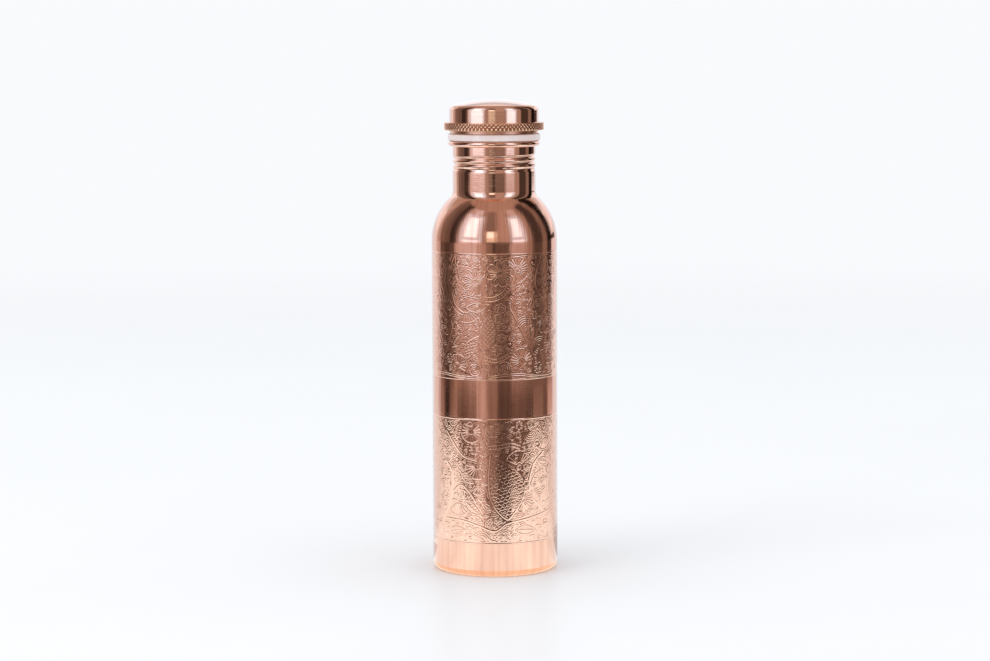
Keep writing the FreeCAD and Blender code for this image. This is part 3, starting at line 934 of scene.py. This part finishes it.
def make_plug():
    """Threaded cup of the lid."""
    corner_r, corner_z = PLUG_R - PLUG_CORNER, PLUG_LOW + PLUG_CORNER
    inner = PLUG_R - SHEET
    spigot_inner = SPIGOT_R - SHEET
    points = outline(
        (0, PLUG_LOW), (corner_r, PLUG_LOW), (PLUG_R, corner_z, PLUG_CORNER, 1),
        (PLUG_R, SEAL_TOP), (FLANGE_R - 0.3, SEAL_TOP), (FLANGE_R, SEAL_TOP + 0.3, 0.3, 1),
        (FLANGE_R, GRIP_LOW), (SPIGOT_R, GRIP_LOW), (SPIGOT_R, PLUG_TOP), (spigot_inner, PLUG_TOP),
        (spigot_inner, SEAL_TOP + SHEET), (inner, SEAL_TOP + SHEET), (inner, corner_z),
        (corner_r, PLUG_LOW + SHEET, PLUG_CORNER - SHEET, -1), (0, PLUG_LOW + SHEET), step=0.25)
    points = refine(points, 0.25)

    def roll(angle, r, z):
        on_wall = (r > PLUG_R - 0.05) & (z < SEAL_TOP - 0.5) & (z > PLUG_LOW + 1.0)
        ridge = helix_ridge(angle, z, THREAD_START - PITCH / 2, PLUG_TURNS, PLUG_RIDGE_HALF_WIDTH, 0.15)
        return r + PLUG_RIDGE_HEIGHT * ridge * on_wall, z

    piece = spin("plug", points, 360, plain, roll, sharp_angle=50)
    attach(piece, "lid")
    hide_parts("thread_plug")


def make_grip():
    """Ring with a cut diamond knurl on its rim, with a painted highlight on its tops and painted shade in
    its cuts.
    """
    points = refine(rounded_ring(COVER_R + 0.05, GRIP_R, GRIP_LOW, GRIP_TOP, 0.9, 0.14), 0.14)
    rise = 1.05 * TURN * GRIP_R / KNURL_CUTS
    middle = (GRIP_LOW + GRIP_TOP) / 2
    tops = []

    def knurl(angle, r, z):
        across = angle * KNURL_CUTS / TURN
        up = (z - middle) / rise
        leaning = [np.abs((way % 1.0) * 2 - 1) for way in (across + up, across - up)]
        cut = 1 - np.minimum(*leaning)
        rim = smooth_step((r - (GRIP_R - 0.55)) / 0.5)
        # tops is 1 on the knurl's tops and off the rim and 0 in the cuts: the material paints highlight
        # where it is high and shade where it is low.
        tops.append(1 - (1 - np.clip((0.88 - cut) / 0.42, 0, 1)) * rim)
        return r - KNURL_DEPTH * cut * rim, z

    piece = spin("grip", points, KNURL_CUTS * 8, knurled, knurl, sharp_angle=60)
    set_relief(piece, tops[0])
    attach(piece, "lid")
    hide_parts("grip_ring")


def make_cover():
    """Domed shell of the lid."""
    crown_axis = COVER_TOP - COVER_CROWN
    corner_out = COVER_R - COVER_CORNER
    corner_up = math.sqrt((COVER_CROWN - COVER_CORNER) ** 2 - corner_out ** 2)
    corner_low = crown_axis + corner_up

    def meeting(radius):
        share = radius / (COVER_CROWN - COVER_CORNER)
        return corner_out * share, crown_axis + corner_up * share

    points = outline(
        (0, COVER_TOP - SHEET), (*meeting(COVER_CROWN - SHEET), COVER_CROWN - SHEET, -1),
        (COVER_R - SHEET, corner_low, COVER_CORNER - SHEET, -1), (COVER_R - SHEET, GRIP_LOW),
        (COVER_R, GRIP_LOW), (COVER_R, GRIP_TOP), (COVER_R, corner_low - 0.3), (COVER_R, corner_low),
        (*meeting(COVER_CROWN), COVER_CORNER, 1), (0, COVER_TOP, COVER_CROWN, 1), step=0.2)
    piece = spin("cover", points, 360, mirror)
    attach(piece, "lid")
    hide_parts("lid_cover")


make_shell()
make_band("upper_band", UPPER_BAND, UPPER_MOTIFS, 11, 5)
make_band("lower_band", LOWER_BAND, LOWER_MOTIFS, 23, 0)
make_neck()
make_disc()
make_seal()
make_plug()
make_grip()
make_cover()


# ---- floor, light and camera

def set_surface(tree, shader):
    tree.links.new(shader.outputs[0], tree.nodes["Material Output"].inputs["Surface"])


def mix_shaders(tree, share, first, second):
    return add_node(tree, "ShaderNodeMixShader", {"Fac": share, 1: first.outputs[0], 2: second.outputs[0]})


def card(name, first, last, start, end, colour, level):
    """A curved strip of the studio, seen only in reflections, between two rims of (distance, height).
    Its ends are in degrees from the camera's side, positive to the right."""
    angle = np.radians(np.linspace(first, last, max(2, int(abs(last - first) / 3)) + 1)) - math.pi / 2
    count = len(angle)
    vertices = [(distance * math.cos(a), distance * math.sin(a), height)
                for distance, height in (start, end) for a in angle]
    faces = [(k, k + 1, k + 1 + count, k + count) for k in range(count - 1)]
    add_card(name, vertices, faces, colour, level)


def flat_card(name, low, high, height, colour, level):
    corners = [(low[0], low[1]), (high[0], low[1]), (high[0], high[1]), (low[0], high[1])]
    add_card(name, [(x, y, height) for x, y in corners], [(0, 1, 2, 3)], colour, level)


def add_card(name, vertices, faces, colour, level):
    material, tree, shader = new_material(name)
    tree.nodes.remove(shader)
    set_surface(tree, add_node(tree, "ShaderNodeEmission", {"Strength": level, "Color": (*colour, 1)}))
    piece = mesh_object(name, vertices, faces, material)
    piece.visible_camera = False
    piece.visible_diffuse = False
    piece.visible_shadow = False
    piece.visible_transmission = False


def make_floor():
    """Pale floor with a faint soft reflection, which fades into the backdrop far from the bottle."""
    material, tree, shader = new_material("floor")
    tree.nodes.remove(shader)
    tone = ramp(tree, noise(tree, 3.0), (0.3, (0.868, 0.872, 0.878)), (0.7, (0.884, 0.888, 0.892)))
    diffuse = add_node(tree, "ShaderNodeBsdfDiffuse", {"Color": tone})
    glossy = add_node(tree, "ShaderNodeBsdfGlossy", {"Roughness": 0.33, "Color": (0.95, 0.95, 0.96, 1)})
    clear = add_node(tree, "ShaderNodeBsdfTransparent", {})
    distance = add_node(tree, "ShaderNodeVectorMath", {0: own_coordinates(tree)}, operation="LENGTH")
    far = add_node(tree, "ShaderNodeMapRange",
                   {"Value": distance.outputs["Value"], "From Min": 0.9, "From Max": 2.4},
                   interpolation_type="SMOOTHSTEP")
    sheen = mix_shaders(tree, 0.07, diffuse, glossy)
    set_surface(tree, mix_shaders(tree, far.outputs["Result"], sheen, clear))
    size = 12.0
    corners = [(-size, -size, 0), (size, -size, 0), (size, size, 0), (-size, size, 0)]
    floor = mesh_object("floor", corners, [(0, 1, 2, 3)], material)
    # Reflections see the cards just under the floor instead.
    floor.visible_glossy = False


def make_world():
    world = bpy.data.worlds.new("studio")
    bpy.context.scene.world = world
    world.use_nodes = True
    background = world.node_tree.nodes["Background"]
    set_inputs(world.node_tree, background, {"Color": (0.945, 0.955, 0.978, 1), "Strength": 1.0})


def studio_colour(level):
    """The bright parts of the studio are lit by cool daylight and the dark ones by warm bounce."""
    cool = smooth_step((level - 0.35) / 0.65)
    return tuple((1 - cool) * warm + cool * bright for warm, bright in zip(WARM_BOUNCE, DAYLIGHT))


WARM_BOUNCE = (1.07, 0.91, 0.84)
DAYLIGHT = (0.88, 1.10, 1.40)
BOX = (0.84, 1.12, 1.48)
SPILL = (1.00, 1.00, 1.12)
BACKDROP = (0.90, 1.05, 1.18)
TABLE = (1.10, 1.42, 1.58)
TABLE_SHADE = (1.0, 1.15, 1.25)
ROOM = 1.6
CEILING = 3.0
TABLE_HALF, TABLE_FRONT, TABLE_BACK = 0.58, 0.20, 0.08
BACKDROP_TOP = 0.90
WALL_FOOT = 0.12
FAR_FLOOR = 0.95

make_floor()
make_world()
# The studio round the table from left to right: name, ends, and the levels of the floor near the
# bottle, of the floor by the wall, of the foot of the wall and of the wall above.
STUDIO = (
    ("left_edge_strip", -128, -117, 0.70, 0.80, 0.62, 0.50),
    ("left_dark_far", -117, -103, 0.30, 0.17, 0.13, 0.20),
    ("left_dark", -103, -90, 0.03, 0.10, 0.07, 0.14),
    ("left_dark_near", -90, -77, 0.24, 0.15, 0.12, 0.04),
    ("left_edge_of_dark", -77, -71, 0.34, 0.42, 0.55, 0.12),
    ("left_under_box", -71, -50, 0.14, 0.42, 0.64, 0.62),
    ("left_middle", -50, -32, 0.22, 0.58, 0.72, 0.85),
    ("lamp_side", -32, -15, 0.58, 0.50, 0.46, 0.36),
    ("lamp_under", -15, 4, 0.26, 0.32, 0.25, 0.22),
    ("centre_dark", 4, 29, 0.09, 0.16, 0.13, 0.20),
    ("right_edge_of_dark", 29, 36, 0.13, 0.46, 0.58, 0.36),
    ("right_under_box", 36, 58, 0.14, 0.40, 0.48, 0.66),
    ("right_middle", 58, 73, 0.09, 0.27, 0.36, 0.38),
    ("right_dark", 73, 98, 0.24, 0.12, 0.09, 0.06),
    ("right_strip", 98, 111, 0.14, 0.21, 0.27, 0.24),
    ("right_black", 111, 128, 0.55, 0.24, 0.04, 0.01),
    ("right_edge", 128, 133, 0.80, 0.90, 0.75, 0.02),
)
for name, first, last, ground, far_ground, foot, wall in STUDIO:
    strips = (("_floor", (0.1, -0.001), (FAR_FLOOR, -0.001), ground),
              ("_far_floor", (FAR_FLOOR, -0.001), (ROOM, -0.001), far_ground),
              ("_foot", (ROOM, -0.001), (ROOM, WALL_FOOT), foot),
              ("", (ROOM, WALL_FOOT), (ROOM, CEILING), wall))
    for suffix, start, end, level in strips:
        card(name + suffix, first, last, start, end, studio_colour(level), level)

# Upright cards: name, ends, low and high edge, distance in front of the wall, colour and level.
WALL_CARDS = (
    ("centre_above", 4, 28, 0.21, CEILING, 0.05, WARM_BOUNCE, 0.45),
    ("right_black_above", 128, 144, 0.155, 0.25, 0.02, WARM_BOUNCE, 0.08),
    ("left_box_foot", -66, -25, 0.10, 0.20, 0.1, SPILL, 0.74),
    ("right_box_foot", 34, 56, 0.10, 0.20, 0.1, SPILL, 0.64),
    ("left_box", -67, -24, 0.20, 1.9, 0.1, BOX, 0.92),
    ("left_box_core_low", -60, -29, 0.195, 0.29, 0.15, BOX, 1.75),
    ("left_box_core", -57, -33, 0.42, 1.6, 0.15, BOX, 1.90),
    ("right_box", 31, 60, 0.20, 1.8, 0.1, BOX, 0.86),
    ("right_box_core_low", 34, 56, 0.195, 0.29, 0.15, BOX, 1.60),
    ("right_box_core", 36, 52, 0.42, 1.5, 0.15, BOX, 1.75),
    ("lamp", -14, 3, 0.21, 0.75, 0.1, (1.0, 1.05, 0.95), 0.9),
    ("lamp_core", -13, -1, 0.42, 0.72, 0.15, (1.0, 1.15, 1.2), 1.6),
    ("camera_shade", -5, 3, 0.04, 0.20, 0.1, WARM_BOUNCE, 0.05),
    ("backdrop_low", 128, 232, -0.01, 0.35, 0, BACKDROP, 0.98),
    ("backdrop_high", 128, 232, 0.35, BACKDROP_TOP, 0, BACKDROP, 1.16),
    ("backdrop_edge", 128, 232, BACKDROP_TOP, BACKDROP_TOP + 0.22, 0, BACKDROP, 0.75),
)
for name, first, last, low, high, forward, colour, level in WALL_CARDS:
    card(name, first, last, (ROOM - forward, low), (ROOM - forward, high), colour, level)

# Cards on the floor: name, ends, inner and outer reach, height, colour and level.
FLOOR_CARDS = (
    ("floor_glow", 0, 360, 0.0, 12.0, -0.003, BACKDROP, 0.96),
    ("left_box_on_table", -62, -22, 0.03, 0.30, -0.0003, TABLE, 1.06),
    ("left_box_on_table_core", -52, -28, 0.04, 0.20, -0.0002, TABLE, 1.14),
    ("right_box_on_table", 28, 60, 0.03, 0.30, -0.0003, TABLE, 1.05),
    ("right_box_on_table_core", 36, 52, 0.04, 0.20, -0.0002, TABLE, 1.13),
    ("table_right_shade", 100, 122, 0.0, 0.16, -0.0002, TABLE, 0.86),
    ("table_right_far_shade", 122, 160, 0.0, 0.16, -0.0002, TABLE_SHADE, 0.60),
    ("table_left_shade", -160, -118, 0.0, 0.10, -0.0002, TABLE_SHADE, 0.78),
    ("under_edge", 0, 360, 0.0, 0.046, -0.0001, (1.20, 1.25, 1.10), 0.92),
)
for name, first, last, inner, outer, height, colour, level in FLOOR_CARDS:
    card(name, first, last, (inner, height), (outer, height), colour, level)
flat_card("table_glow", (-TABLE_HALF, -TABLE_FRONT), (TABLE_HALF, TABLE_BACK), -0.0006, TABLE, 0.98)
flat_card("table_back_glow", (-TABLE_HALF, TABLE_BACK), (TABLE_HALF, 1.4), -0.0006, (1.0, 1.22, 1.36), 0.86)
flat_card("ceiling", (-ROOM * 2.2, -ROOM * 1.2), (ROOM * 2.2, ROOM * 2.1), CEILING, WARM_BOUNCE, 0.42)


def area_light(name, place, size, power, colour=(1, 1, 1)):
    light = bpy.data.lights.new(name, "AREA")
    light.shape = "RECTANGLE"
    light.size, light.size_y = size
    light.energy = power
    light.color = colour
    lamp = bpy.data.objects.new(name, light)
    lamp.location = place
    lamp.rotation_mode = "QUATERNION"
    lamp.rotation_quaternion = (Vector((0, 0, 0.12)) - Vector(place)).to_track_quat("-Z", "Y")
    lamp.visible_glossy = False
    bpy.context.scene.collection.objects.link(lamp)


area_light("overhead", (0.1, -0.1, 2.2), (2.2, 2.2), 5)
area_light("left_key", (-1.6, -1.2, 1.4), (1.2, 1.4), 8, (1.0, 0.98, 0.95))
area_light("right_key", (1.6, -1.0, 1.3), (1.0, 1.3), 1.5, (1.0, 0.98, 0.95))


def make_camera():
    """Low long-lens view from the front, a little above the lid and looking slightly down."""
    data = bpy.data.cameras.new("camera")
    data.lens, data.sensor_width = 100, 36
    data.clip_start, data.clip_end = 0.05, 40
    camera = bpy.data.objects.new("camera", data)
    camera.location = (0.0008, -1.619, 0.315)
    camera.rotation_euler = (math.radians(90 - 6.12), math.radians(0.2), 0)
    bpy.context.scene.collection.objects.link(camera)
    bpy.context.scene.camera = camera


make_camera()
bpy.context.scene.view_settings.view_transform = "Standard"
